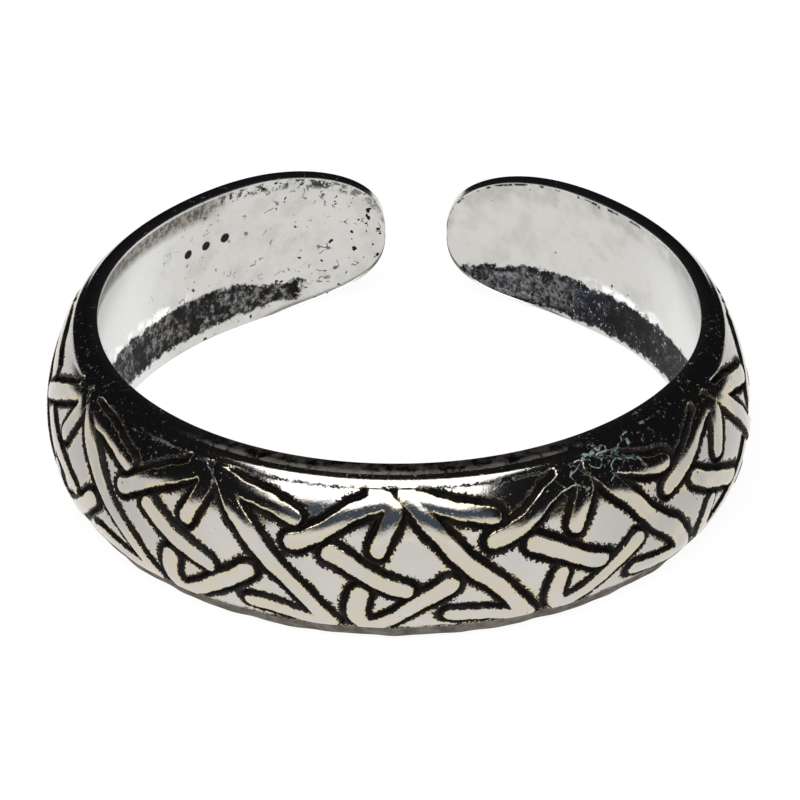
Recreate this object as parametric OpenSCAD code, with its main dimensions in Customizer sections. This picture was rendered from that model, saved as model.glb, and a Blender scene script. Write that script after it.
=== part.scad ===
// Open toe ring with raised interlaced straps, lying on its lower rim.
// Lengths are in millimetres and angles in degrees. Angle 0 is the front of the ring, at -Y, angles grow
// towards +X, and the gap is at the back, at +Y. The toe hole's axis is Z, and the lower rim lies on z = 0.

/* [Band] */
// Diameter of the toe hole
hole_d = 14.8; // [13:0.1:19]
// Height of the band at the front
front_w = 4.7; // [4:0.1:7]
// Height of the band beside the gap
back_w = 3.95; // [3:0.1:6]
// Thickness of the band along its two rims
rim_t = 0.35; // [0.3:0.05:0.8]
// Rise of the domed outer face above the rims, at the front
front_rise = 0.95; // [0.5:0.05:1.4]
// Rise of the domed outer face above the rims, in both arms beside the gap
back_rise = 0.25; // [0.2:0.05:1.2]
// Depth of the hollow inside the band at the front. Elsewhere it follows the rise of the dome.
hollow = 0.45; // [0.1:0.05:0.6]
// Height of the plain round land inside each rim
land_w = 0.3; // [0.15:0.05:0.6]

/* [Gap] */
// Opening between the two tips, at the toe hole
gap_w = 1.5; // [0.8:0.1:4]
// Length over which each tip rounds off
tip_len = 4.4; // [2.5:0.1:6]
// Fullness of the rounded tips: 2 is an ellipse, and more is squarer
tip_power = 2.6; // [2:0.1:4]
// How far the inside of each rounded tip stands clear of the toe hole
tip_ease = 0.05; // [0.02:0.01:0.15]

/* [Relief] */
// Repeats of the strap pattern in a whole turn
repeats = 11; // [8:1:16]
// Turn of the strap pattern round the ring
relief_turn = -1.6; // [-16:0.1:16]
// Width of a strap's flat top
strap_w = 0.44; // [0.25:0.01:0.6]
// Width of each sloping side of a strap
strap_side = 0.05; // [0.02:0.01:0.12]
// Height of the straps above the sunk panel
strap_h = 0.15; // [0.05:0.01:0.3]
// Width of the plain border along the upper rim
border_w = 0.45; // [0.3:0.05:0.9]
// Width of the plain border along the lower rim
low_border_w = 0.8; // [0.3:0.05:1]
// Height of the borders and the plain tips above the sunk panel
border_h = 0.1; // [0.05:0.01:0.2]
// Plain length left at each tip, past the sunk panel
plain_len = 2.6; // [2:0.1:6]

/* [Hidden] */

hole_r = hole_d / 2;
gap_a = asin(gap_w / 2 / hole_r);
plain_a = angle_of(plain_len);
tip_a = 180 - gap_a;
panel_a = tip_a - plain_a;
repeat_a = 360 / repeats;

// Width of the step round the sunk panel, and of each border's slope beside the rim
step_w = 0.08;
slope_w = 0.2;
// Depth to which the straps are rooted in the dome
strap_root = 0.08;
// Smallest share of the band's height, at the very tip
tip_least = 0.12;
// Grid that every point of the skin is rounded to
grid = 0.0001;
// How far the toe hole's cutter runs past both rims
overrun = 1;

// Angles from the front between which the rise of the dome falls off
fall_from = 55;
fall_to = 140;

// Sections of the band from the front to the panel's end, and from there to the tip
panel_steps = 36;
end_steps = 12;
// Steps of the dome across the panel, and of the hollow from rim to rim
dome_steps = 8;
hollow_steps = 8;
// Facets of the toe hole when it is drawn
hole_facets = 180;

// Straps that one repeat of the pattern brings, each as the points of its middle line: [along, up].
// Along is in repeats from the crossing in the middle, and up goes from -1 at the panel's lower edge
// to 1 at its upper edge. Each strap ends where the pattern takes it under another one.
long_strap = [[0.19, 0.88], [0.27, 0.62], [0.37, 0.36], [0.55, -0.10], [0.65, -0.36], [0.77, -0.84]];
short_strap = [[-0.23, 0.29], [-0.10, 0.10], [0.10, -0.17], [0.18, -0.26]];
rising_strap = [[0, -0.90], [0.11, -0.72], [0.21, -0.51], [0.31, -0.30], [0.39, -0.10]];
falling_strap = [[-0.06, -0.24], [-0.085, -0.53], [-0.08, -0.76], [-0.05, -0.91]];
high_strap = [[-0.42, 0.31], [-0.31, 0.42], [-0.20, 0.58], [-0.10, 0.73], [0.03, 0.86]];
hooked_strap = [[0.02, 0.29], [0.055, 0.45], [0.09, 0.62], [0.11, 0.78], [0.05, 0.90]];
low_bar = [[0.36, -0.69], [0.48, -0.75], [0.60, -0.82], [0.71, -0.89]];
top_bar = [[-0.37, 0.60], [-0.48, 0.68], [-0.61, 0.77], [-0.78, 0.87]];
STRAPS = [long_strap, short_strap, rising_strap, falling_strap, high_strap, hooked_strap, low_bar, top_bar];

// Angle that a length takes round the toe hole
function angle_of(len) = len / hole_r * 180 / PI;

// Half of the band's full height at an angle
function half_w(a) = (front_w + back_w + (front_w - back_w) * cos(a)) / 4;

// Rise of the dome, which falls off smoothly from the front to the arms beside the gap
function smooth(t) = let(s = min(1, max(0, t))) s * s * (3 - 2 * s);
function rise_at(a) = front_rise + (back_rise - front_rise) * smooth((abs(a) - fall_from) / (fall_to - fall_from));

// How far an angle lies into a tip, from 0 where its rounding starts to 1 at its end
function into_tip(a) = min(1, max(0, 1 - (tip_a - abs(a)) / angle_of(tip_len)));

// Share of its full height that the band keeps at an angle, which falls off in the tips
function kept(a) = max(tip_least, pow(1 - pow(into_tip(a), tip_power), 1 / tip_power));

// Share of the tips' inner ease at an angle, which is whole from half way into a tip
function eased(a) = smooth(2 * into_tip(a));

// Radius and half angle of the dome's arc in one section
function dome_r(a) = let(h = half_w(a), b = rise_at(a)) kept(a) * (h * h + b * b) / (2 * b);
function dome_a(a) = let(h = half_w(a), b = rise_at(a)) 2 * atan(b / h);

// Length of half the dome's arc, and the share of it that a length across the band takes
function half_arc(a) = dome_r(a) * dome_a(a) * PI / 180;
function share_of(len, a) = len * kept(a) / half_arc(a);
function panel_top(a) = 1 - share_of(border_w, a);
function panel_low(a) = 1 - share_of(low_border_w, a);

// Distance from the toe hole's axis, and height, of a point on the dome: share goes from -1 to 1
function dome_rz(a, share, lift) =
    let(turn = share * dome_a(a), r = dome_r(a))
    [hole_r + rim_t + r * (cos(turn) - cos(dome_a(a))) + lift * cos(turn),
     half_w(a) + (r + lift) * sin(turn)];

// Point at an angle round the ring, on a grid fine enough to be invisible, so that the rims are truly flat
function on_grid(v) = round(v / grid) * grid;
function around(a, rz) = [on_grid(rz[0] * sin(a)), on_grid(-rz[0] * cos(a)), on_grid(rz[1])];

// Outer side of one section, as [share, lift] pairs from the lower rim to the upper one
function outer_line(a) =
    let(t = panel_top(a), l = panel_low(a), step = share_of(step_w, a), slope = share_of(slope_w, a),
        up = border_h * kept(a), floor_lift = abs(a) > panel_a ? up : 0)
    concat([[-1, 0], [slope - 1, up], [-l - step, up]],
           [for (i = [0:dome_steps]) [(t + l) * i / dome_steps - l, floor_lift]],
           [[t + step, up], [1 - slope, up], [1, 0]]);

// Inner side of one section, from the upper rim to the lower one, before the toe hole trims its lands.
// The lands run out where the tips' inside stands clear of the hole.
function inner_line(a) =
    let(h = half_w(a), e = eased(a), k = kept(a), deep = hollow * rise_at(a) / front_rise,
        trim = deep * (pow(h / (h - land_w), 2) - 1) * (1 - e))
    [for (i = [0:hollow_steps]) let(q = 1 - 2 * i / hollow_steps)
        [hole_r + tip_ease * e - trim + (deep * k + trim) * (1 - q * q), h + q * h * k]];

function section(a) =
    [for (p = concat([for (o = outer_line(a)) dome_rz(a, o[0], o[1])], inner_line(a))) around(a, p)];

// Skin between closed rows of points, with a flat cap at each end
module skin(rows) {
    n = len(rows[0]);
    last = (len(rows) - 1) * n;
    sides = [for (i = [0:len(rows) - 2], j = [0:n - 1]) let(a = i * n + j, b = i * n + (j + 1) % n)
        each [[a, b, b + n], [a, b + n, a + n]]];
    caps = [[for (j = [n - 1:-1:0]) j], [for (j = [0:n - 1]) last + j]];
    polyhedron(points = [for (row = rows) each row], faces = concat(sides, caps));
}

// Band with its sunk panel, hollow and rounded tips
module blank() {
    step_a = angle_of(step_w);
    half = concat([for (i = [1:panel_steps]) i * panel_a / panel_steps],
                  [for (i = [end_steps:-1:0])
                      tip_a - (plain_a - step_a) * (1 - cos(90 * i / end_steps))]);
    back_to_front = [for (i = [len(half) - 1:-1:0]) -half[i]];
    skin([for (a = concat(back_to_front, [0], half)) section(a)]);
}

// Place on the dome of a strap's point, as [angle, share of the half arc]
function strap_place(p, k) =
    let(a = relief_turn + (k + p[0]) * repeat_a)
    [a, p[1] * (p[1] > 0 ? panel_top(a) : panel_low(a))];

// Millimetres that one degree and the whole half arc take at a place
function metric(place) = [dome_rz(place[0], place[1], 0)[0] * PI / 180, half_arc(place[0])];

function strap_corner(place, m, dir, along, across, lift) =
    let(a = place[0] + (along * dir[0] - across * dir[1]) / m[0],
        share = place[1] + (along * dir[1] + across * dir[0]) / m[1])
    around(a, dome_rz(a, share, lift));

// Four corners of a strap at one of its places. Its top is drawn in by pull at the two ends.
function strap_row(place, before, after, pull) =
    let(m = metric(place), run = [(after[0] - before[0]) * m[0], (after[1] - before[1]) * m[1]],
        dir = run / norm(run), half_top = strap_w / 2, half_base = half_top + strap_side)
    [strap_corner(place, m, dir, 0, -half_base, -strap_root),
     strap_corner(place, m, dir, pull, -half_top, strap_h),
     strap_corner(place, m, dir, pull, half_top, strap_h),
     strap_corner(place, m, dir, 0, half_base, -strap_root)];

module strap(places) {
    last = len(places) - 1;
    skin([for (i = [0:last])
        strap_row(places[i], places[max(0, i - 1)], places[min(last, i + 1)],
                  i == 0 ? strap_side : i == last ? -strap_side : 0)]);
}

// Straps of every repeat that lie whole in the sunk panel
module straps() {
    most = ceil(repeats / 2);
    room = panel_a - angle_of(strap_w);
    for (k = [-most:most], points = STRAPS) {
        places = [for (p = points) strap_place(p, k)];
        reach = max([for (q = places) abs(q[0])]);
        if (reach < room) strap(places);
    }
}

// Cutter for the toe hole, turned so that its seam lies in the gap
module toe_hole() {
    translate([0, 0, -overrun])
        rotate([0, 0, 90])
            cylinder(r = hole_r, h = max(front_w, back_w) + 2 * overrun, $fn = hole_facets);
}

// The cast band. A resize to no new size merges its blank and straps into one skin.
module band() {
    color("silver")
        difference() {
            resize([0, 0, 0]) {
                blank();
                straps();
            }
            toe_hole();
        }
}

band();
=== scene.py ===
# Looks of an open silver toe ring with a relief of interlaced straps, lying on its lower rim.
# Sizes here are in millimetres and degrees unless a name says otherwise; meshes are made in metres.
# Angle 0 is the front of the ring, at -Y, angles grow towards +X, and the gap is at +Y.
import math
from types import SimpleNamespace

import bpy
import numpy as np
from mathutils import Matrix, Vector


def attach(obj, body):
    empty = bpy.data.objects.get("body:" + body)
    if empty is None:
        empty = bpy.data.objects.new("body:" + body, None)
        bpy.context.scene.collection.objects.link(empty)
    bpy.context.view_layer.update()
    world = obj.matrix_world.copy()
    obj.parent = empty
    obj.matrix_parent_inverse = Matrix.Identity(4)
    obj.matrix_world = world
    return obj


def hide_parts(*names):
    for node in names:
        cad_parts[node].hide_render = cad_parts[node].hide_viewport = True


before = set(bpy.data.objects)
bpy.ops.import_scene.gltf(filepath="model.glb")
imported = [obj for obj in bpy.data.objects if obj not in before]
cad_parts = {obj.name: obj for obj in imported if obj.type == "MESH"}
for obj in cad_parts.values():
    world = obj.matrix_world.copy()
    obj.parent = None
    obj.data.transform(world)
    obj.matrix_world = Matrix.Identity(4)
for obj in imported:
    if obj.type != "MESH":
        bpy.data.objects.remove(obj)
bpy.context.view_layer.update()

MM = 0.001

# Band, as in the part's source, but for thinner ends of the very tips
HOLE_R = 7.4
FRONT_W = 4.7
BACK_W = 3.95
RIM_T = 0.35
FRONT_RISE = 0.95
BACK_RISE = 0.25
FALL_FROM = 55
FALL_TO = 140
HOLLOW = 0.45
LAND_W = 0.3
GAP_W = 1.5
TIP_LEN = 4.4
TIP_POWER = 2.6
TIP_EASE = 0.05
TIP_LEAST = 0.05

# Relief, as in the part's source, but for slightly narrower straps
REPEAT_A = 360 / 11
RELIEF_TURN = -1.6
STRAP_HALF = 0.265
STRAP_H = 0.15
BORDER_W = 0.45
LOW_BORDER_W = 0.8
BORDER_H = 0.1
PLAIN_LEN = 2.6

# Straps of one repeat: [along, up], along in repeats and up from -1 to 1 across the sunk panel
STRAPS = {
    "long": [
        [0.19, 0.88], [0.27, 0.62], [0.37, 0.36], [0.45, 0.14], [0.55, -0.10], [0.65, -0.36], [0.77, -0.84],
    ],
    "short": [[-0.23, 0.29], [-0.10, 0.10], [0.10, -0.17], [0.18, -0.26]],
    "rising": [[0, -0.90], [0.11, -0.72], [0.21, -0.51], [0.31, -0.30], [0.39, -0.10]],
    "falling": [[-0.06, -0.24], [-0.085, -0.53], [-0.08, -0.76], [-0.05, -0.91]],
    "high": [[-0.42, 0.31], [-0.31, 0.42], [-0.20, 0.58], [-0.10, 0.73], [0.03, 0.86]],
    "hooked": [[0.02, 0.29], [0.055, 0.45], [0.09, 0.62], [0.11, 0.78], [0.05, 0.90]],
    "low_bar": [[0.36, -0.69], [0.48, -0.75], [0.60, -0.82], [0.71, -0.89]],
    "top_bar": [[-0.37, 0.60], [-0.48, 0.68], [-0.61, 0.77], [-0.78, 0.87]],
}

# Finer relief that only the looks have: levels above the sunk panel, and widths from a strap's edge
FIELD_H = 0.09
GROOVE_H = -0.02
GROOVE_W = 0.03
EDGE_SOFT = 0.06
EDGE_FOOT = 0.02
STRAP_CROWN = 0.06
PANEL_SOFT = 0.05
BORDER_FADE = 0.87
END_PULL = 0.15
END_PUSH = 0.2
# A strap's end past this height runs on into a border, and no end moves by more than this share of a step
BORDER_UP = 0.8
MOST_MOVE = 0.9

# Waver of a handmade model, as sums of sines: size, rate along the ring, lean with the height, and start
ALONG_WAVER = ((0.22, 0.41, 2.3, 0.0), (0.05, 1.37, -5.1, 1.0))
UP_WAVER = ((0.012, 0.53, 0.0, 1.7), (0.004, 1.9, 4.2, 0.0))
FOOT_WAVER = ((0.018, 0.37, 0.0, 1.0), (0.014, 0.63, 0.0, 0.4), (0.008, 1.1, 0.0, 0.0))
# Heights where the lower border's waver is nil and whole, and distance out from the toe hole where it starts
FOOT_Z = (0.9, 0.3)
FOOT_OUT = 0.15

# How the cast band strays from its plain form: size, and angles over which it comes and goes
RIGHT_LIFT = 0.22, (100, 135), (172, 150)
RIGHT_INWARD = 0.13, (70, 105), (172, 140)
LEFT_INWARD = 0.06, (60, 95), (160, 120)

# Rounding of the rims' outer and inner edges, and of the hollow's edge beside the lands
OUTER_ROUND = 0.09
INNER_ROUND = 0.04
HOLLOW_SOFT = 0.012
# Share of the outer rounding that lies on the rim's flat
ROUND_SHARE = 0.6

# Plain punched dots inside the left arm: angles round the ring, height, radius and the share of it that is
# whole, and depth in the hollow
PUNCH_ANGLES = (-142, -137.5, -133)
PUNCH_Z = 2.65
PUNCH_R = 0.15
PUNCH_CORE = 0.8
PUNCH_DEEP = 0.12

# Dark zone along the lower part of the inside: its lower edge in each arm, its upper edge, and where it ends
DARK_LOW_LEFT = 0.3
DARK_LOW_RIGHT = 0.12
DARK_HIGH_Z = 1.3
DARK_END_LEFT = 158.0
DARK_END_RIGHT = 173.0
# Fall of its upper edge towards each tip, and the angles between which it falls
DARK_FALL_LEFT = 0.5, (136, 158)
DARK_FALL_RIGHT = 0.25, (150, 176)

# Mesh counts: columns round the ring, and rows across the dome, a rounded edge and the inside
FRONT_COLUMNS = 740
FRONT_A = 105.0
BACK_COLUMNS = 50
TIP_COLUMNS = 56
DOME_ROWS = 122
ROUND_ROWS = 3
INNER_ROWS = 30
# Value of a distance or depth where a mark doesn't reach, and of the inside on the rims
FAR = 9.0
RIM_INNER = 0.5
EDGE_INNER = 0.8

# Places of the marks of the finish and of painted light and shade, each as the coordinate where it is nil and
# the one where it is whole
LEFT_X = (1, -3)
BACK_Y = (3.0, 5.5)
LINE_Y = (-5.5, -7.0)
TIP_X = (-4.2, -1.6), (0.0, -0.5)
# Painted glints: white highlights painted into the inside's colour above the stain
PAINTED_GLINT_Y = (1.7, 2.7), (5.3, 4.6)
PAINTED_GLINT_Z = (0.9, 1.1)
CLEAR_X = (2.5, 5.0)
PALE_X = (4.3, 3.4)
TIP_SIDE_Y = (5.2, 6.0)
# Painted sheen: the inside is lighter nearer the front, as a reflection would make it
PAINTED_SHEEN_Y = (5.2, 3.2)
# Painted shade: the outer flats darken towards both sides
SIDE_SHADE_X = (3.5, 7.5)
# Painted shade: the lower border is darkened short of the back
LOW_BORDER_SHADE_Y = (4.5, 1.0)
FRONT_RIM_Y = (-5.5, -7.2)
# Painted highlight: place of the teal lines on the right shoulder
PAINTED_TEAL_HIGHLIGHT_X = (4.0, 4.5), (6.5, 5.9)
SHOULDER_Y = (1.0, -1.0)
DUST_X = (4.0, 5.0)
# How much farther back the painted glints start and end in the right arm
PAINTED_GLINT_SHIFT = 2.0, 1.0

# Patterns of noise: size of a feature, detail, roughness, and the part of the noise that is used
PATTERNS = {
    "fine": (0.09, 3.0, 0.7, (0, 0, 0)),
    "grain": (0.2, 5.0, 0.75, (2, 9, 4)),
    "patch": (0.6, 3.0, 0.6, (1, 4, 1)),
    "line_gaps": (0.7, 3.0, 0.6, (6, 3, 3)),
    "spots": (0.22, 2.0, 0.6, (3, 1, 7)),
    "spot_groups": (2.2, 1.0, 0.5, (11, 5, 2)),
    "wriggle": (0.5, 2.0, 0.6, (8, 4, 6)),
    "wriggle_gaps": (0.3, 2.0, 0.6, (1, 1, 6)),
    "wriggle_groups": (1.1, 2.0, 0.6, (7, 2, 9)),
    "stain_edge": (0.3, 5.0, 0.75, (4, 4, 9)),
    "glints": (0.5, 3.0, 0.6, (2, 2, 5)),
    "loose": (0.26, 2.0, 0.6, (5, 2, 2)),
    "mottle": (0.2, 6.0, 0.8, (7, 7, 3)),
    "fine_mottle": (0.1, 3.0, 0.7, (6, 2, 8)),
    "sparks": (0.09, 2.0, 0.6, (1, 8, 3)),
    "dashes": (0.35, 3.0, 0.6, (9, 1, 1)),
    "flats": (1.7, 2.0, 0.5, (5, 5, 1)),
    "warm_edge": (0.8, 2.0, 0.5, (2, 7, 7)),
    "strap_top": (0.9, 2.0, 0.5, (9, 7, 2)),
    "tone": (0.7, 4.0, 0.65, (3, 8, 1)),
    "border": (0.4, 4.0, 0.7, (4, 1, 8)),
    "bloom": (0.17, 4.0, 0.8, (3, 6, 6)),
    # Painted teal highlight lines and their gaps
    "streak": (0.8, 2.0, 0.5, (4, 6, 2)),
    "streak_gaps": (0.12, 3.0, 0.7, (2, 2, 8)),
    "dust": (0.11, 3.0, 0.6, (5, 9, 9)),
    "wear": (0.6, 4.0, 0.6, (8, 2, 2)),
    "specks": (0.1, 3.0, 0.6, (5, 9, 9)),
    "rim_wear": (0.3, 4.0, 0.7, (1, 9, 4)),
    "scratches": (0.05, 2.0, 0.5, (6, 6, 6)),
    "waves": (1.2, 2.0, 0.5, (3, 3, 8)),
}

# Colours, in linear red, green and blue, some of them painted light and shade
COLORS = {
    "flat_light": (0.58, 0.56, 0.52),
    "flat_dim": (0.54, 0.52, 0.49),
    # Painted shade for the outer flats at the sides
    "flat_side_shade": (0.43, 0.41, 0.39),
    "strap_top": (0.58, 0.52, 0.42),
    "warm_edge": (0.60, 0.53, 0.34),
    "inside_light": (0.63, 0.62, 0.59),
    "inside_dim": (0.55, 0.54, 0.51),
    # Painted sheen: lighter colour for the inside nearer the front
    "inside_painted_sheen": (0.77, 0.77, 0.75),
    # Painted shade of the lower border, dark and streaky
    "border_shade_light": (0.17, 0.155, 0.13),
    "border_shade_dark": (0.07, 0.058, 0.045),
    "smear": (0.30, 0.27, 0.24),
    "front_rim_dark": (0.10, 0.09, 0.085),
    "front_rim_light": (0.20, 0.175, 0.15),
    "bloom_light": (0.28, 0.25, 0.21),
    "bloom_dark": (0.045, 0.034, 0.027),
    # Painted highlight: white for the glints above the inside stain
    "glint": (1.0, 1.0, 1.0),
    "oxide": (0.006, 0.005, 0.004),
    "oxide_brown": (0.018, 0.013, 0.010),
    "stain": (0.012, 0.011, 0.012),
    "stain_navy": (0.013, 0.018, 0.033),
    "stain_teal": (0.025, 0.04, 0.04),
    "clump_right": (0.27, 0.27, 0.28),
    "clump_left": (0.32, 0.30, 0.28),
    "spark": (0.55, 0.53, 0.48),
    # Painted highlight: teal for the lines on the right shoulder
    "streak": (0.22, 0.34, 0.33),
    "dust": (0.10, 0.09, 0.08),
    "paper": (0.16, 0.16, 0.16),
    "surroundings": (0.011, 0.011, 0.013),
    "backdrop": (0.9, 0.9, 0.9),
}
PAPER_GLOW = 0.93

# Roughness of the polish, as its least value and how much the wear adds, and of what lies in or on it
POLISH = 0.06
POLISH_WEAR = 0.08
INSIDE_ROUGH = 0.32
SPECK_ROUGH = 0.45
RIM_ROUGH = 0.7
SOILED_ROUGH = 0.5
# Specular level of the metal and of what is dull
METAL_SPECULAR = 0.5
DULL_SPECULAR = 0.12
# Share of the lower border's painted shade, a dark dull finish, and of the stain's in roughness
BORDER_DULL_SHADE = 0.95
STAIN_ROUGH_SHARE = 0.8

# Heights of the bump: cast grain, what the stains add to it, scratches, pits, and the lower border's waves
GRAIN_BUMP = 0.003
STAIN_BUMP = 0.012
SCRATCH_BUMP = 0.001
PIT_BUMP = 0.012
WAVE_BUMP = 0.03

# Camera, fitted to the photograph: angles, distance, pixels for a millimetre, and the place of the origin
VIEW_EL = 32.43
VIEW_AZ = 3.22
VIEW_ROLL = 0.614
VIEW_DISTANCE = 800.0
PX_PER_MM = 41.04
FRAME_PX = 800
ORIGIN_PX = (401.5, 462.14)
SENSOR = 36.0
CLIP_M = (0.01, 20)

# Floor: half its side, and the line behind the ring up to which the metal mirrors it
FLOOR_SIZE = 2000
FLOOR_SPLIT = 25

# Soft lights: azimuth, elevation, distance and size in metres, strength, and colour
LIGHTS = {
    "soft_box": (-6, 55, 0.4, (0.5, 0.42), 2.6, (1, 1, 1)),
    "blue_card": (0, 17, 0.41, (0.5, 0.11), 0.14, (0.45, 0.62, 1.0)),
    "front_card": (0, 4, 0.4, (0.6, 0.06), 1.0, (1, 1, 1)),
}


def smooth(low, high, x):
    """Smooth step from 0 at low to 1 at high."""
    t = np.clip((x - low) / (high - low), 0, 1)
    return t * t * (3 - 2 * t)


def angle_of(length):
    return math.degrees(length / HOLE_R)


TIP_A = 180 - math.degrees(math.asin(GAP_W / 2 / HOLE_R))
PANEL_A = TIP_A - angle_of(PLAIN_LEN)


def half_w(a):
    return (FRONT_W + BACK_W + (FRONT_W - BACK_W) * np.cos(np.radians(a))) / 4


def rise_at(a):
    return FRONT_RISE + (BACK_RISE - FRONT_RISE) * smooth(FALL_FROM, FALL_TO, np.abs(a))


def into_tip(a):
    """How far an angle lies into a tip, from 0 to 1."""
    return np.clip(1 - (TIP_A - np.abs(a)) / angle_of(TIP_LEN), 0, 1)


def kept(a):
    """Share of its full height that the band keeps at an angle."""
    return np.maximum(TIP_LEAST, (1 - into_tip(a) ** TIP_POWER) ** (1 / TIP_POWER))


def eased(a):
    """Share of the tips' inner ease at an angle."""
    return smooth(0, 0.5, into_tip(a))


def dome_arc(a):
    """Radius at full height and half angle of the dome's arc, in radians."""
    h, b = half_w(a), rise_at(a)
    return (h * h + b * b) / (2 * b), 2 * np.arctan(b / h)


def dome_rz(a, share, lift):
    """Distance from the toe hole's axis, and height, of a point on the dome: share goes from -1 to 1."""
    radius, half = dome_arc(a)
    turn = share * half
    r = HOLE_R + RIM_T + radius * kept(a) * (np.cos(turn) - np.cos(half)) + lift * np.cos(turn)
    return r, half_w(a) + (radius * kept(a) + lift) * np.sin(turn)


def panel_shares(a):
    """Shares of the half arc at the sunk panel's upper and lower edges, both positive."""
    radius, half = dome_arc(a)
    return 1 - BORDER_W / (radius * half), 1 - LOW_BORDER_W / (radius * half)


def fine_line(points):
    """A strap's middle line with points added along a smooth curve."""
    p = np.array([points[0], *points, points[-1]], float)
    out = []
    for i in range(1, len(p) - 2):
        a, b, c, d = p[i - 1 : i + 3]
        for t in (0, 1 / 3, 2 / 3):
            squared, cubed = 2 * a - 5 * b + 4 * c - d, 3 * b - a - 3 * c + d
            out.append(0.5 * (2 * b + (c - a) * t + squared * t**2 + cubed * t**3))
    return np.array([*out, p[-1]])


def pulled_in(line):
    """The line with its round ends drawn in where it goes under a strap, and run on into a border."""
    scale = np.array([math.radians(REPEAT_A) * (HOLE_R + RIM_T + FRONT_RISE), FRONT_W / 2])
    out = line.copy()
    for end, inner in ((0, 1), (-1, -2)):
        step = line[inner] - line[end]
        pull = -END_PUSH if abs(line[end][1]) > BORDER_UP else END_PULL
        out[end] = line[end] + step * min(MOST_MOVE, pull / np.linalg.norm(step * scale))
    return out


def waver(terms, a, share=0.0):
    return sum(size * np.sin(rate * a + lean * share + start) for size, rate, lean, start in terms)


def strap_distance(a, share):
    """Distance in millimetres from the nearest strap's edge, negative on the strap."""
    a = a + waver(ALONG_WAVER, a, share)
    share = share + waver(UP_WAVER, a, share)
    radius, half = dome_arc(a)
    across = radius * half * kept(a)
    around = np.radians(dome_rz(a, share, 0)[0])
    top, low = panel_shares(a)
    along = (a - RELIEF_TURN) / REPEAT_A
    nearest = np.round(along)
    room = PANEL_A - angle_of(2 * STRAP_HALF)
    best = np.full(np.broadcast(a, share).shape, FAR)
    for points in STRAPS.values():
        line = pulled_in(fine_line(points))
        ends = line[:, 0].min(), line[:, 0].max()
        for step in (-1, 0, 1):
            k = nearest + step
            built = np.maximum(*(np.abs(RELIEF_TURN + (k + end) * REPEAT_A) for end in ends)) < room
            for p, q in zip(line[:-1], line[1:]):
                px = (p[0] - along + k) * REPEAT_A * around
                py = (p[1] * (top if p[1] > 0 else low) - share) * across
                dx = (q[0] - p[0]) * REPEAT_A * around
                dy = (q[1] * (top if q[1] > 0 else low) - share) * across - py
                t = np.clip(-(px * dx + py * dy) / (dx * dx + dy * dy), 0, 1)
                d = np.hypot(px + t * dx, py + t * dy)
                best = np.where(built, np.minimum(best, d), best)
    return best - STRAP_HALF


def panel_distance(a, share):
    """Distance from the sunk panel's edge, negative inside the panel."""
    radius, half = dome_arc(a)
    top, low = panel_shares(a)
    up = np.maximum(share - top, -low - share) * radius * half * kept(a)
    side = np.radians(np.abs(a) - PANEL_A) * HOLE_R
    return np.maximum(up, side + 0 * up)


def relief(a, share):
    """Height of the outer face above the sunk panel's floor, with the two distances that shade it."""
    d = strap_distance(a, share)
    e = panel_distance(a, share)
    top = smooth(EDGE_FOOT, -EDGE_SOFT, d) * (1 - STRAP_CROWN * smooth(-STRAP_HALF, 0, d))
    field = smooth(GROOVE_W, GROOVE_W + EDGE_SOFT, d)
    inside = GROOVE_H + (STRAP_H - GROOVE_H) * top + (FIELD_H - GROOVE_H) * field
    outside = BORDER_H * kept(a) * smooth(1.0, BORDER_FADE, np.abs(share))
    sunk = smooth(PANEL_SOFT, -PANEL_SOFT, e)
    return outside + (inside - outside) * sunk, d, e


def column_angles():
    """Angles of the mesh's columns, closest together at the front and at the very tips."""
    start = TIP_A - angle_of(TIP_LEN)
    back = np.linspace(FRONT_A, start, BACK_COLUMNS + 1)[1:]
    middle = np.concatenate([-back[::-1], np.linspace(-FRONT_A, FRONT_A, FRONT_COLUMNS), back])
    ease = 1 - np.cos(np.linspace(math.pi / 2, 0, TIP_COLUMNS + 1)[1:])
    tip = TIP_A - angle_of(TIP_LEN) * ease
    return np.concatenate([-tip[::-1], middle, tip])


def bend(p0, corner, p1):
    """Points of a rounded edge between two others, without them."""
    out = []
    for t in np.linspace(0, 1, ROUND_ROWS + 2)[1:-1]:
        out.append([(1 - t) ** 2 * p0[i] + 2 * t * (1 - t) * corner[i] + t**2 * p1[i] for i in (0, 1)])
    return out


def low_zone(a, z):
    """How far a place on the inside lies within the dark low zone, in millimetres."""
    left_top = DARK_HIGH_Z - DARK_FALL_LEFT[0] * smooth(*DARK_FALL_LEFT[1], -a)
    right_top = DARK_HIGH_Z - DARK_FALL_RIGHT[0] * smooth(*DARK_FALL_RIGHT[1], a)
    end = np.where(a < 0, DARK_END_LEFT, DARK_END_RIGHT)
    past = np.radians(end - np.abs(a)) * HOLE_R / 2
    bottom = np.where(a < 0, DARK_LOW_LEFT, DARK_LOW_RIGHT)
    return np.minimum(np.minimum(z - bottom, np.where(a < 0, left_top, right_top) - z), past)


def comes_and_goes(spec, a):
    size, coming, going = spec
    return size * smooth(*coming, a) * smooth(*going, a)


def rim_edge(dome_end, side, h, k):
    """Points of one rim from the dome's end to the hole's wall, each with its share of the inside."""
    z = h + side * h * k
    rim_out = [HOLE_R + RIM_T - OUTER_ROUND * ROUND_SHARE * k, z]
    rim_in = [HOLE_R + INNER_ROUND * k, z]
    wall = [HOLE_R + 0 * z, z - side * INNER_ROUND * k]
    outer = bend([dome_end[:, 0], dome_end[:, 1]], [HOLE_R + RIM_T, z], rim_out)
    inner = bend(rim_in, [HOLE_R, z], wall)
    return [(p, 0.0) for p in [*outer, rim_out]] + [(rim_in, RIM_INNER)] + [(p, EDGE_INNER) for p in inner]


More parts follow.
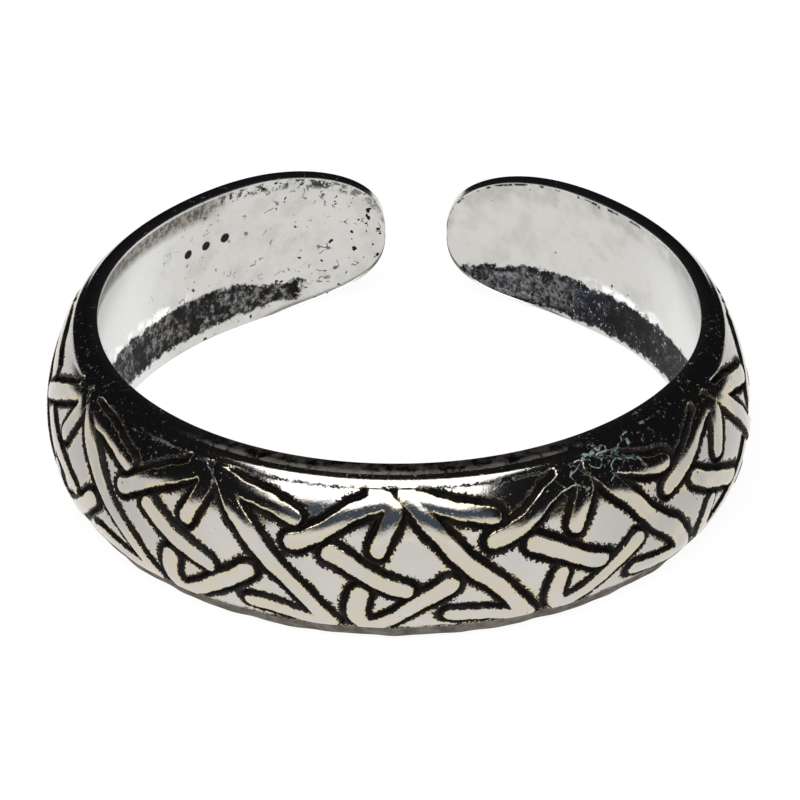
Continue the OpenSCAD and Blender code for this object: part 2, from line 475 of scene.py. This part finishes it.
def ring_mesh():
    """The band as two halves that meet at the front, with attributes that their material reads."""
    a = column_angles()
    h, k = half_w(a), kept(a)
    radius, half = dome_arc(a)
    last = 1 - OUTER_ROUND / (radius * half)
    rows, marks = [], []

    def add(rz, strap=FAR, panel=FAR, inner=0.0, height=0.0, dark=-FAR):
        rows.append(np.stack([rz[0] + 0 * a, rz[1] + 0 * a], -1))
        below = h + h * k - rz[1]
        marks.append([np.broadcast_to(v, a.shape) for v in (strap, panel, inner, height, dark, below)])

    for s in np.linspace(-1, 1, DOME_ROWS):
        share = s * last
        lift, d, e = relief(a, share)
        add(dome_rz(a, share, lift), d, e, 0.0, s)
    upper = rim_edge(rows[-1], 1, h, k)
    lower = rim_edge(rows[0], -1, h, k)[::-1]
    for p, inner in upper:
        add(p, inner=inner, height=1.0)
    ease = eased(a)
    deep = HOLLOW * rise_at(a) / FRONT_RISE
    trim = deep * ((h / (h - LAND_W)) ** 2 - 1) * (1 - ease)
    for q in np.linspace(1, -1, INNER_ROWS):
        z = h + q * (h - INNER_ROUND) * k
        share = (z - h) / (h * k)
        depth = (deep * k + trim) * (1 - share**2) - trim + TIP_EASE * ease
        soft = 0.5 * (depth + np.sqrt(depth**2 + HOLLOW_SOFT**2))
        add([HOLE_R + soft, z], inner=1.0, height=q, dark=low_zone(a, z))
    for p, inner in lower:
        add(p, inner=inner, height=-1.0)

    grid = np.stack(rows, 1)
    ring = np.radians(a)[:, None]
    lift = comes_and_goes(RIGHT_LIFT, a)
    inward = comes_and_goes(RIGHT_INWARD, a) + comes_and_goes(LEFT_INWARD, -a)
    z = grid[..., 1] + lift[:, None] * (1 - grid[..., 1] / (2 * h)[:, None]) ** 2
    foot = smooth(*FOOT_Z, z) * smooth(HOLE_R + FOOT_OUT, HOLE_R + RIM_T, grid[..., 0])
    r = grid[..., 0] - inward[:, None] + foot * waver(FOOT_WAVER, a)[:, None]
    xyz = np.stack([r * np.sin(ring), -r * np.cos(ring), z], -1)
    marks = np.stack([np.stack(row, -1) for row in marks], 1)
    along = np.gradient(xyz, axis=0)
    normals = np.cross(along, np.roll(xyz, -1, 1) - np.roll(xyz, 1, 1))
    normals /= np.maximum(np.linalg.norm(normals, axis=-1, keepdims=True), 1e-12)
    middle = len(a) // 2
    return [
        half_band("band_left", xyz[: middle + 1], normals[: middle + 1], marks[: middle + 1], 0),
        half_band("band_right", xyz[middle:], normals[middle:], marks[middle:], -1),
    ]


def half_band(name, xyz, normals, marks, tip):
    """One half of the band, open where the halves meet and closed at its tip."""
    count, across = xyz.shape[:2]
    i, j = np.meshgrid(np.arange(count - 1), np.arange(across), indexing="ij")
    j2 = (j + 1) % across
    quads = np.stack([i * across + j, (i + 1) * across + j, (i + 1) * across + j2, i * across + j2], -1)
    faces = quads.reshape(-1, 4).tolist()
    faces.append(list(range(across)) if tip == 0 else [(count - 1) * across + n for n in range(across)][::-1])
    mesh = bpy.data.meshes.new(name)
    mesh.from_pydata((xyz.reshape(-1, 3) * MM).tolist(), [], faces)
    for n, mark in enumerate(("strap_edge", "panel_edge", "inner", "height", "low_zone", "below_rim")):
        values = marks[..., n].reshape(-1).astype(np.float32)
        mesh.attributes.new(mark, "FLOAT", "POINT").data.foreach_set("value", values)
    mesh.shade_smooth()
    mesh.normals_split_custom_set_from_vertices(normals.reshape(-1, 3).tolist())
    mesh.update()
    piece = bpy.data.objects.new(name, mesh)
    bpy.context.scene.collection.objects.link(piece)
    return piece


def rgba(color):
    """A named colour with its alpha. Sockets pass through."""
    return (*COLORS[color], 1) if isinstance(color, str) else color


class Nodes:
    """Short ways to add and join shader nodes."""

    def __init__(self, tree):
        self.tree = tree

    def add(self, kind, **settings):
        node = self.tree.nodes.new(kind)
        for key, value in settings.items():
            setattr(node, key, value)
        return node

    def link(self, value, socket):
        if isinstance(value, bpy.types.NodeSocket):
            self.tree.links.new(value, socket)
        else:
            socket.default_value = value

    def math(self, operation, *values):
        node = self.add("ShaderNodeMath", operation=operation)
        for n, value in enumerate(values):
            self.link(value, node.inputs[n])
        return node.outputs[0]

    def joined(self, operation, first, *others):
        for value in others:
            first = self.math(operation, first, value)
        return first

    def times(self, *values):
        return self.joined("MULTIPLY", *values)

    def plus(self, *values):
        return self.joined("ADD", *values)

    def most(self, *values):
        return self.joined("MAXIMUM", *values)

    def minus(self, a, b):
        return self.math("SUBTRACT", a, b)

    def scaled(self, value, factor, offset):
        return self.math("MULTIPLY_ADD", value, factor, offset)

    def off_middle(self, value):
        """How far a value from 0 to 1 lies from a half."""
        return self.math("ABSOLUTE", self.minus(value, 0.5))

    def step(self, value, nil, whole):
        """Smooth step of a value, from 0 at nil to 1 at whole."""
        node = self.add("ShaderNodeMapRange", interpolation_type="SMOOTHSTEP")
        self.link(value, node.inputs["Value"])
        rising = whole > nil
        node.inputs["From Min"].default_value = nil if rising else whole
        node.inputs["From Max"].default_value = whole if rising else nil
        node.inputs["To Min"].default_value = 0.0 if rising else 1.0
        node.inputs["To Max"].default_value = 1.0 if rising else 0.0
        return node.outputs["Result"]

    def step_mm(self, value, limits):
        """Smooth step of a coordinate between two places in millimetres."""
        return self.step(value, limits[0] * MM, limits[1] * MM)

    def attribute(self, name):
        return self.add("ShaderNodeAttribute", attribute_name=name).outputs["Fac"]

    def place(self):
        return self.add("ShaderNodeTexCoord").outputs["Object"]

    def noise(self, pattern):
        """Noise from 0 to 1."""
        size, detail, roughness, offset = PATTERNS[pattern]
        shift = self.add("ShaderNodeVectorMath", operation="ADD")
        self.link(self.place(), shift.inputs[0])
        shift.inputs[1].default_value = [v * MM for v in offset]
        node = self.add("ShaderNodeTexNoise")
        self.link(shift.outputs[0], node.inputs["Vector"])
        node.inputs["Scale"].default_value = 1 / (size * MM)
        node.inputs["Detail"].default_value = detail
        node.inputs["Roughness"].default_value = roughness
        return node.outputs["Fac"]

    def noise_step(self, pattern, nil, whole):
        return self.step(self.noise(pattern), nil, whole)

    def distance(self, point_mm):
        """Distance from a fixed point, in metres."""
        node = self.add("ShaderNodeVectorMath", operation="DISTANCE")
        self.link(self.place(), node.inputs[0])
        node.inputs[1].default_value = [v * MM for v in point_mm]
        return node.outputs["Value"]

    def mix(self, factor, a, b):
        """Mix of two colours."""
        node = self.add("ShaderNodeMix", data_type="RGBA")
        self.link(factor, node.inputs[0])
        self.link(rgba(a), node.inputs[6])
        self.link(rgba(b), node.inputs[7])
        return node.outputs[2]

    def blend(self, factor, a, b):
        """Mix of two values."""
        node = self.add("ShaderNodeMix", data_type="FLOAT")
        self.link(factor, node.inputs[0])
        self.link(a, node.inputs[2])
        self.link(b, node.inputs[3])
        return node.outputs[0]


# In the functions below n adds nodes and s keeps what they share. The bare numbers in the steps are levels of
# noise, shares of the dome's height, or distances in millimetres from an edge.
def silver_base(n):
    """Attributes, coordinates and noise that several marks of the finish share."""
    s = SimpleNamespace()
    s.strap, s.panel, s.height = n.attribute("strap_edge"), n.attribute("panel_edge"), n.attribute("height")
    s.inner, s.low, s.rim = n.attribute("inner"), n.attribute("low_zone"), n.attribute("below_rim")
    place = n.add("ShaderNodeSeparateXYZ")
    n.link(n.place(), place.inputs[0])
    s.x, s.y, s.z = (place.outputs[axis] for axis in "XYZ")
    s.side_x = n.math("ABSOLUTE", s.x)
    s.left = n.step_mm(s.x, LEFT_X)
    s.right = n.minus(1.0, s.left)
    s.back = n.step_mm(s.y, BACK_Y)
    s.outer = n.minus(1.0, s.inner)
    s.fine, s.grain, s.patch = n.noise("fine"), n.noise("grain"), n.noise("patch")
    return s


def add_oxide(n, s):
    """Oxide in the grooves beside the straps, and in a thin line along the panel's upper edge."""
    panel = n.plus(s.panel, n.scaled(s.fine, 0.26, -0.13))
    s.wall = n.plus(s.strap, n.scaled(s.fine, 0.14, -0.03))
    s.field = n.minus(s.strap, n.scaled(s.fine, 0.34, -0.11))
    beside = n.times(n.step(s.field, GROOVE_W + 0.08, GROOVE_W + 0.055), n.step(panel, 0.04, 0.0))
    line = n.times(n.step(panel, -0.045, -0.02), n.step(panel, 0.035, 0.015))
    line = n.times(line, n.noise_step("line_gaps", 0.42, 0.5), n.step_mm(s.y, LINE_Y))
    s.oxide = n.times(n.most(beside, line), n.step(s.wall, -0.045, -0.02))


def add_pits(n, s):
    """Small pits, most of them inside towards the left tip, and wriggling marks inside the left arm."""
    tip_part = n.times(n.step_mm(s.x, TIP_X[0]), n.step_mm(s.x, TIP_X[1]), s.back)
    more = n.times(tip_part, s.inner, 0.08)
    level = n.plus(n.noise("spots"), more, n.times(n.noise("spot_groups"), 0.12))
    s.pits = n.step(level, 0.80, 0.82)
    wriggle = n.step(n.off_middle(n.noise("wriggle")), 0.02, 0.012)
    here = n.most(tip_part, n.times(n.noise_step("wriggle_groups", 0.62, 0.50), 0.6))
    s.marks = n.times(wriggle, n.noise_step("wriggle_gaps", 0.56, 0.62), s.left, s.inner, s.back, here)


def add_stain(n, s):
    """Stain on the low part of the inside: ragged, with painted glints above it, white highlights painted
    into the colour, and specks in it.
    """
    reach = n.plus(s.low, n.scaled(n.noise("stain_edge"), 0.6, -0.3))
    s.zone = n.step(reach, -0.02, 0.05)
    first, last = (n.scaled(s.right, -shift * MM, s.y) for shift in PAINTED_GLINT_SHIFT)
    painted_glint_place = n.times(n.step_mm(first, PAINTED_GLINT_Y[0]), n.step_mm(last, PAINTED_GLINT_Y[1]), n.step_mm(s.z, PAINTED_GLINT_Z))
    # Painted glints: white highlights painted in along the stain's upper edge
    s.glints = n.times(n.step(reach, -0.30, -0.14), n.noise_step("glints", 0.44, 0.54), painted_glint_place, s.inner)
    s.loose = n.times(n.step(reach, -0.5, -0.2), n.noise_step("loose", 0.64, 0.67), s.inner, s.left, s.back)
    mottle = n.noise("mottle")
    clear = n.scaled(n.step_mm(s.x, CLEAR_X), -0.8, 1.0)
    worn = n.times(n.step(mottle, 0.47, 0.62), clear, n.step(s.patch, 0.35, 0.55))
    pale = n.times(s.right, n.step_mm(s.x, PALE_X), n.step(reach, 0.08, 0.30))
    pale = n.times(pale, n.step(mottle, 0.36, 0.60), n.noise_step("fine_mottle", 0.38, 0.56))
    s.worn = n.most(worn, n.times(pale, 0.8))
    sparks = n.scaled(s.right, 0.05, n.noise("sparks"))
    s.spark = n.times(n.step(sparks, 0.68, 0.74), n.step(s.patch, 0.40, 0.58))


def add_rim_grain(n, s):
    """Grain under the upper rim: brown in the left arm, black at its tip, and dashes in the right arm."""
    near_rim = n.times(n.step(s.rim, 0.75, 0.35), n.step(s.rim, 0.05, 0.12), s.inner)
    rim_left = n.times(near_rim, s.left)
    tip_side = n.step_mm(s.y, TIP_SIDE_Y)
    s.flecks = n.times(rim_left, tip_side, n.step(s.grain, 0.50, 0.55), n.step(s.rim, 0.42, 0.25))
    s.bloom = n.times(rim_left, n.minus(1.0, tip_side))
    dashes = n.times(n.step(s.rim, 0.15, 0.11), n.step(s.rim, 0.05, 0.08))
    s.dashes = n.times(dashes, s.inner, s.right, s.back, n.noise_step("dashes", 0.48, 0.56))
    s.smear = n.times(near_rim, s.right, n.step(s.patch, 0.35, 0.65))


def add_punches(n, s):
    """Three plain dots."""
    dots = []
    for angle in PUNCH_ANGLES:
        turn, r = math.radians(angle), HOLE_R + PUNCH_DEEP
        away = n.distance((r * math.sin(turn), -r * math.cos(turn), PUNCH_Z))
        dots.append(n.step_mm(away, (PUNCH_R, PUNCH_R * PUNCH_CORE)))
    s.punches = n.most(*dots)


def add_borders(n, s):
    """The lower border's painted shade, a dark dull finish, the rim at the front, and painted teal highlights
    and dust on the upper shoulder.
    """
    # Painted shade: the lower border made dark and dull, for the shade it mirrors beneath the ring
    on_border = n.times(n.step(s.panel, -0.02, 0.06), n.step(s.height, -0.4, -0.6), s.outer)
    s.low_border = n.times(on_border, n.step_mm(s.y, LOW_BORDER_SHADE_Y))
    s.front_rim = n.times(n.step(s.height, 0.992, 0.999), n.step_mm(s.y, FRONT_RIM_Y))
    shoulder = n.times(n.step(s.height, 0.5, 0.6), n.step_mm(s.y, SHOULDER_Y), s.outer)
    # Painted highlight: thin teal lines on the right shoulder, dull so that the lights pick them out
    streak = n.step(n.off_middle(n.noise("streak")), 0.018, 0.006)
    streak = n.times(streak, n.noise_step("streak_gaps", 0.44, 0.56), shoulder, n.step(s.height, 0.995, 0.97))
    s.streak = n.times(streak, n.step_mm(s.x, PAINTED_TEAL_HIGHLIGHT_X[0]), n.step_mm(s.x, PAINTED_TEAL_HIGHLIGHT_X[1]))
    dust = n.times(n.noise_step("dust", 0.60, 0.70), n.step(s.patch, 0.45, 0.6))
    s.dust = n.times(dust, shoulder, n.step_mm(s.side_x, DUST_X))


def metal_with_painted_light(n, s):
    """Colour of the silver outside the oxide and the stain, with painted shade at the sides and on the lower
    border, and painted sheen and glints inside.
    """
    flats = n.mix(n.noise_step("flats", 0.3, 0.7), "flat_light", "flat_dim")
    # Painted shade: flats darker towards the sides, where the metal turns away from the light
    flats = n.mix(n.step_mm(s.side_x, SIDE_SHADE_X), flats, "flat_side_shade")
    strap_top = n.times(n.step(s.strap, 0.0, -0.05), n.noise_step("strap_top", 0.35, 0.65))
    flats = n.mix(n.times(strap_top, 0.75), flats, "strap_top")
    strap_edge = n.times(n.step(s.wall, -0.13, -0.07), n.step(s.wall, 0.0, -0.03))
    field_edge = n.times(n.step(s.field, GROOVE_W + 0.16, GROOVE_W + 0.09), n.step(s.strap, 0.0, 0.05))
    warm_edge = n.times(n.most(strap_edge, field_edge), n.noise_step("warm_edge", 0.4, 0.6))
    flats = n.mix(n.times(warm_edge, 0.8), flats, "warm_edge")
    inside = n.mix(n.noise_step("tone", 0.42, 0.68), "inside_light", "inside_dim")
    metal = n.mix(s.inner, flats, inside)
    # Painted reflection: the inside made lighter nearer the front
    metal = n.mix(n.times(s.inner, n.step_mm(s.y, PAINTED_SHEEN_Y)), metal, "inside_painted_sheen")
    streaky = n.noise_step("border", 0.35, 0.65)
    # Painted shade: the lower border's dark colour stands in for the shadow it mirrors under the ring
    metal = n.mix(n.times(s.low_border, BORDER_DULL_SHADE), metal, n.mix(streaky, "border_shade_light", "border_shade_dark"))
    metal = n.mix(n.times(s.smear, 0.4), metal, "smear")
    metal = n.mix(s.front_rim, metal, n.mix(streaky, "front_rim_dark", "front_rim_light"))
    brown = n.mix(n.noise_step("bloom", 0.45, 0.54), "bloom_light", "bloom_dark")
    metal = n.mix(n.times(s.bloom, 0.9), metal, brown)
    # Painted highlight: the glints above the stain are painted white
    return n.mix(s.glints, metal, "glint")


def silver_color(n, s):
    """Colour of the whole finish. Dark is the share of it that oxide and pits cover."""
    deep = n.mix(n.step(s.patch, 0.5, 0.7), "stain", n.mix(s.left, "stain_navy", "stain_teal"))
    stain = n.mix(s.worn, deep, n.mix(s.left, "clump_right", "clump_left"))
    stain = n.mix(s.spark, stain, "spark")
    color = n.mix(s.zone, metal_with_painted_light(n, s), stain)
    s.dark = n.most(s.oxide, s.pits, s.dashes, s.punches, s.flecks, s.marks, s.loose)
    color = n.mix(s.dark, color, n.mix(n.step(s.patch, 0.45, 0.7), "oxide", "oxide_brown"))
    # Painted highlight: teal lines on the right shoulder
    color = n.mix(s.streak, color, "streak")
    return n.mix(s.dust, color, "dust")


def silver_roughness(n, s):
    """Polished outside, softer inside, and rough where it is dark, dusty or worn."""
    wear = n.scaled(n.noise("wear"), POLISH_WEAR, POLISH)
    wear = n.blend(s.inner, wear, INSIDE_ROUGH)
    wear = n.blend(n.times(n.noise_step("specks", 0.65, 0.72), s.outer), wear, SPECK_ROUGH)
    wear = n.blend(n.times(s.front_rim, n.noise_step("rim_wear", 0.3, 0.65)), wear, RIM_ROUGH)
    return n.blend(n.most(s.dark, n.times(s.zone, STAIN_ROUGH_SHARE)), wear, SOILED_ROUGH)


def silver_bump(n, s):
    """Cast grain everywhere, stronger in the stains, fine scratches, pits, and waves in the lower border."""
    amount = n.scaled(n.most(s.zone, s.flecks), STAIN_BUMP, GRAIN_BUMP)
    height = n.plus(n.times(s.grain, amount), n.times(n.noise("scratches"), SCRATCH_BUMP))
    height = n.minus(height, n.times(s.pits, PIT_BUMP))
    waves = n.times(n.noise("waves"), s.low_border, WAVE_BUMP)
    bump = n.add("ShaderNodeBump")
    bump.inputs["Strength"].default_value = 1.0
    bump.inputs["Distance"].default_value = MM
    n.link(n.plus(height, waves), bump.inputs["Height"])
    return bump.outputs[0]


def silver_material():
    """Cast silver, black with oxide in the grooves, and stained and pitted inside, with painted highlights
    and shade.
    """
    material = bpy.data.materials.new("oxidised_silver")
    material.use_nodes = True
    n = Nodes(material.node_tree)
    s = silver_base(n)
    for part in (add_oxide, add_pits, add_stain, add_rim_grain, add_punches, add_borders):
        part(n, s)
    inputs = material.node_tree.nodes["Principled BSDF"].inputs
    n.link(silver_color(n, s), inputs["Base Color"])
    dull = n.most(s.dark, s.streak, s.dust, n.times(s.low_border, BORDER_DULL_SHADE))
    specular = n.blend(s.low_border, n.blend(dull, METAL_SPECULAR, DULL_SPECULAR), 0.0)
    n.link(n.blend(dull, 1.0, 0.0), inputs["Metallic"])
    n.link(specular, inputs["Specular IOR Level"])
    n.link(silver_roughness(n, s), inputs["Roughness"])
    n.link(silver_bump(n, s), inputs["Normal"])
    return material


def floor_material():
    """White paper that glows a little, as it would under even light."""
    material = bpy.data.materials.new("pale_floor")
    material.use_nodes = True
    inputs = material.node_tree.nodes["Principled BSDF"].inputs
    inputs["Base Color"].default_value = rgba("paper")
    inputs["Roughness"].default_value = 1.0
    inputs["Specular IOR Level"].default_value = 0.0
    inputs["Emission Color"].default_value = (1, 1, 1, 1)
    inputs["Emission Strength"].default_value = PAPER_GLOW
    return material


def make_floor():
    """Paper on both sides of a line behind the ring. Past the line it isn't mirrored in the metal."""
    material = floor_material()
    for name, near, far in (("floor", -FLOOR_SIZE, FLOOR_SPLIT), ("floor_back", FLOOR_SPLIT, FLOOR_SIZE)):
        mesh = bpy.data.meshes.new(name)
        corners = [(-FLOOR_SIZE, near), (FLOOR_SIZE, near), (FLOOR_SIZE, far), (-FLOOR_SIZE, far)]
        mesh.from_pydata([(x * MM, y * MM, 0) for x, y in corners], [], [(0, 1, 2, 3)])
        mesh.materials.append(material)
        floor = bpy.data.objects.new(name, mesh)
        floor.visible_glossy = name == "floor"
        bpy.context.scene.collection.objects.link(floor)


def direction(azimuth, elevation):
    """Direction seen from the ring: azimuth 0 is the front, and it grows towards +X."""
    az, el = math.radians(azimuth), math.radians(elevation)
    return Vector((math.sin(az) * math.cos(el), -math.cos(az) * math.cos(el), math.sin(el)))


def make_camera():
    """The photograph's view: a very long lens above the front, rolled a little."""
    back = direction(VIEW_AZ, VIEW_EL)
    az, roll = math.radians(VIEW_AZ), math.radians(VIEW_ROLL)
    right = Vector((math.cos(az), math.sin(az), 0))
    up = back.cross(right)
    x_axis = right * math.cos(roll) - up * math.sin(roll)
    y_axis = right * math.sin(roll) + up * math.cos(roll)
    middle = FRAME_PX / 2
    aim = x_axis * (middle - ORIGIN_PX[0]) / PX_PER_MM + y_axis * (ORIGIN_PX[1] - middle) / PX_PER_MM
    data = bpy.data.cameras.new("camera")
    data.sensor_width = SENSOR
    data.lens = SENSOR * VIEW_DISTANCE * PX_PER_MM / FRAME_PX
    data.clip_start, data.clip_end = CLIP_M
    camera = bpy.data.objects.new("camera", data)
    place = (aim + back * VIEW_DISTANCE) * MM
    camera.matrix_world = Matrix.Translation(place) @ Matrix((x_axis, y_axis, back)).transposed().to_4x4()
    bpy.context.scene.collection.objects.link(camera)
    bpy.context.scene.camera = camera


def make_world():
    """Surroundings that are dark in the metal and pale behind the floor."""
    world = bpy.data.worlds.new("studio")
    world.use_nodes = True
    n = Nodes(world.node_tree)
    seen = n.add("ShaderNodeLightPath").outputs["Is Camera Ray"]
    n.link(n.mix(seen, "surroundings", "backdrop"), world.node_tree.nodes["Background"].inputs["Color"])
    bpy.context.scene.world = world


def area_light(name, azimuth, elevation, distance, size, radiance, color):
    """A soft rectangular light that faces the ring, placed by its direction seen from the ring."""
    toward = direction(azimuth, elevation)
    data = bpy.data.lights.new(name, "AREA")
    data.shape = "RECTANGLE"
    data.size, data.size_y = size
    data.color = color
    data.energy = radiance * math.pi * size[0] * size[1]
    light = bpy.data.objects.new(name, data)
    light.location = toward * distance
    light.rotation_euler = toward.to_track_quat("Z", "Y").to_euler()
    bpy.context.scene.collection.objects.link(light)


def main():
    bpy.context.scene.view_settings.view_transform = "Standard"
    make_camera()
    make_floor()
    make_world()
    for name, settings in LIGHTS.items():
        area_light(name, *settings)
    silver = silver_material()
    for piece in ring_mesh():
        piece.data.materials.append(silver)
        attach(piece, "root")
        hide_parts("band")


main()
